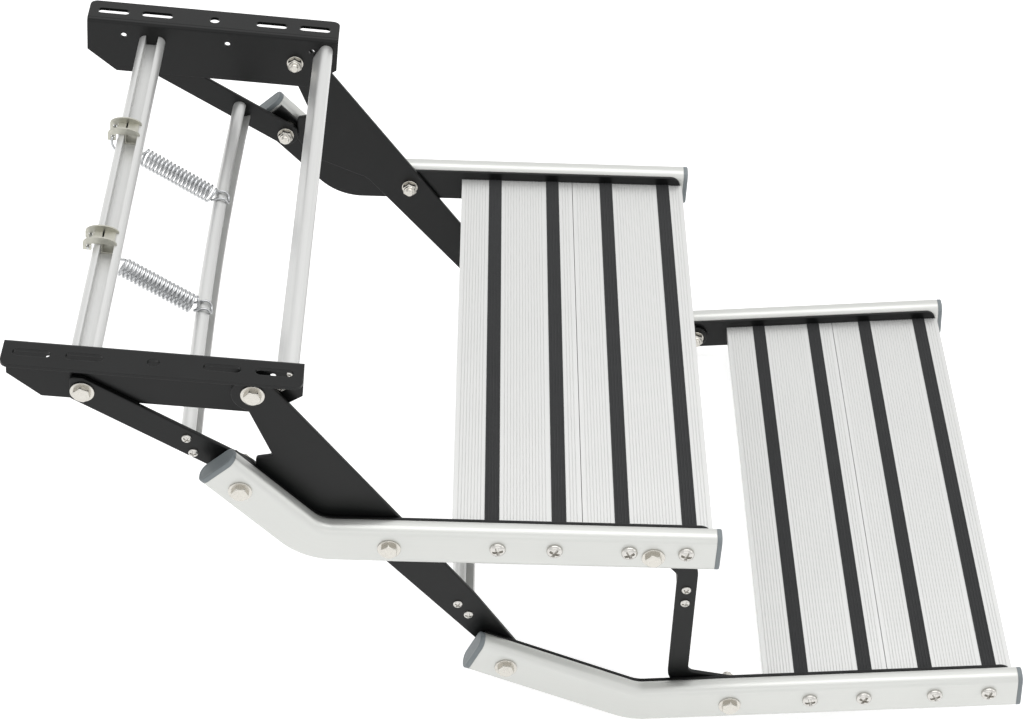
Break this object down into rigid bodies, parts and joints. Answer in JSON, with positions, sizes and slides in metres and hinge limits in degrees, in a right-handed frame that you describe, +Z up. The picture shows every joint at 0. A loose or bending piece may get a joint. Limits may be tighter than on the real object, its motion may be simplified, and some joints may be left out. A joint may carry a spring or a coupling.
{
  "type": "caravan entry step",
  "caption": "Folding double entry step with ribbed alloy treads, bent oval side rails and black steel swing arms hung from two slotted base brackets.",
  "frame": {"origin": "midway between the two centre holes of the base brackets, on the flange tops that meet the caravan floor", "axes": "+X forward, away from the caravan; +Y along the treads, towards the step's left side; +Z up"},
  "size_m": [0.9049, 0.5638, 0.3713],
  "materials": {
    "black_steel": "semi-gloss powder coat",
    "alloy": "satin extruded and anodised",
    "zinc": "zinc plated",
    "clip_steel": "dull zinc plated sheet",
    "spring_steel": "bright zinc plated wire",
    "cap_plastic": "moulded, fine grain",
    "grip_insert": "ridged, matt"
  },
  "bodies": {
    "base": {"base_bracket_left": "black_steel", "base_bracket_right": "black_steel", "rear_base_tube": "alloy", "front_base_tube": "alloy", "base_tube_screws": "zinc", "spring_clip_left": "clip_steel", "spring_clip_right": "clip_steel", "base_pivot_bolts": "zinc", "base_pivot_nuts": "zinc", "base_pivot_washers": "zinc", "arm_spacers": "zinc", "spring_left": "spring_steel", "spring_right": "spring_steel"},
    "rear_link": {"rear_link_left": "black_steel", "rear_link_right": "black_steel", "rear_link_tube": "alloy", "rear_link_screws": "zinc", "rear_link_nuts": "zinc"},
    "main_arm": {"main_arm_left": "black_steel", "main_arm_right": "black_steel", "arm_tube": "alloy", "arm_tube_screws": "zinc"},
    "upper_step": {"upper_rail_left": "alloy", "upper_rail_right": "alloy", "upper_inner_plate_left": "black_steel", "upper_inner_plate_right": "black_steel", "upper_plank_rear": "alloy", "upper_plank_front": "alloy", "upper_grip_inserts": "grip_insert", "upper_rear_caps": "cap_plastic", "upper_front_caps": "cap_plastic", "upper_plank_screws": "zinc", "upper_pivot_bolts": "zinc", "upper_pivot_nuts": "zinc", "upper_pivot_washers": "zinc", "stop_spacers": "zinc"},
    "front_link": {"front_link_left": "black_steel", "front_link_right": "black_steel", "front_link_tube": "alloy", "front_link_screws": "zinc", "front_link_nuts": "zinc"},
    "lower_step": {"lower_rail_left": "alloy", "lower_rail_right": "alloy", "lower_inner_plate_left": "black_steel", "lower_inner_plate_right": "black_steel", "lower_plank_rear": "alloy", "lower_plank_front": "alloy", "lower_grip_inserts": "grip_insert", "lower_rear_caps": "cap_plastic", "lower_front_caps": "cap_plastic", "lower_plank_screws": "zinc", "lower_pivot_bolts": "zinc", "lower_pivot_nuts": "zinc", "lower_pivot_washers": "zinc"}
  },
  "joints": [
    {"name": "main_arm_pivot", "type": "hinge", "parent": "base", "child": "main_arm", "pos_m": [0.0801, 0, -0.0302], "axis": [0, 1, 0], "range_deg": [0, 98.7]},
    {"name": "upper_step_pivot", "type": "hinge", "parent": "main_arm", "child": "upper_step", "pos_m": [0.2026, 0, -0.173], "axis": [0, 1, 0], "range_deg": [-98.72, 0]},
    {"name": "lower_step_pivot", "type": "hinge", "parent": "main_arm", "child": "lower_step", "pos_m": [0.31677, 0, -0.31134], "axis": [0, 1, 0], "range_deg": [-104.52, 0]},
    {"name": "rear_link_pivot", "type": "hinge", "parent": "base", "child": "rear_link", "pos_m": [-0.0585, 0, -0.045], "axis": [0, 1, 0], "range_deg": [0, 139.6], "deforming": ["spring_left", "spring_right"]},
    {"name": "front_link_pivot", "type": "hinge", "parent": "upper_step", "child": "front_link", "pos_m": [0.42749, 0, -0.15978], "axis": [0, 1, 0], "range_deg": [0, 84.48]}
  ],
  "couplings": [
    {"joint": "upper_step_pivot", "follows": "main_arm_pivot", "ratio": -1.0001},
    {"joint": "lower_step_pivot", "follows": "main_arm_pivot", "ratio": -1.0589},
    {"joint": "rear_link_pivot", "follows": "main_arm_pivot", "ratio": 1.4143},
    {"joint": "front_link_pivot", "follows": "main_arm_pivot", "ratio": 0.8558}
  ]
}
